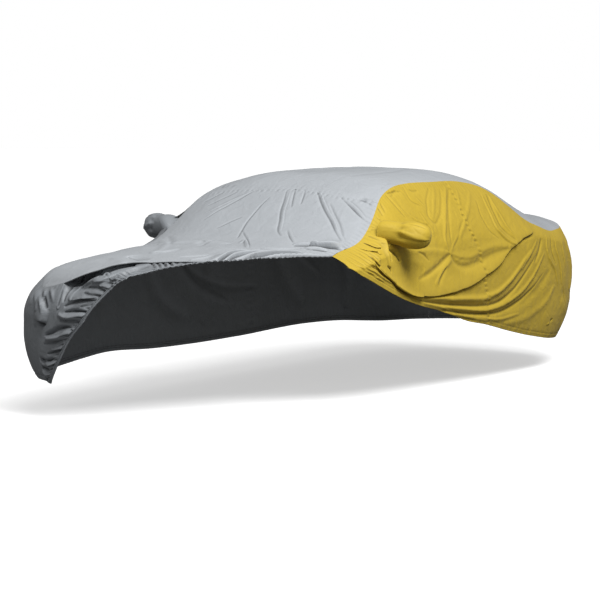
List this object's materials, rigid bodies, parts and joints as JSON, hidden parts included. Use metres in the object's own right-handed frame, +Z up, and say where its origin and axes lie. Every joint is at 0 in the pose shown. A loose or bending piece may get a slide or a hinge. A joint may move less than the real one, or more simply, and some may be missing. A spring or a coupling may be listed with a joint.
{
  "type": "car cover",
  "caption": "Fitted cloth car cover with an elastic hem and mirror pockets, hanging in its fitted shape with one front corner drawn up.",
  "frame": {"origin": "under the middle of the roof panel, on the cloth's underside, where the roof of what it covers holds it up", "axes": "+X towards the nose, +Y towards the near (yellow) side, +Z up"},
  "size_m": [5.0609, 2.1854, 1.2813],
  "materials": {
    "grey_top_cloth": "light grey woven polyester, matt with a soft sheen",
    "grey_side_cloth": "darker grey woven polyester, matt",
    "yellow_side_cloth": "mustard yellow woven polyester, matt"
  },
  "bodies": {
    "root": {"bonnet_panel": "grey_top_cloth", "roof_panel": "grey_top_cloth", "nose_panel": "grey_side_cloth", "near_front_side": "yellow_side_cloth", "near_rear_side": "yellow_side_cloth", "far_front_side": "grey_side_cloth", "far_rear_side": "grey_side_cloth", "tail_panel": "grey_side_cloth", "near_mirror_pocket": "yellow_side_cloth", "far_mirror_pocket": "grey_side_cloth"}
  },
  "joints": []
}
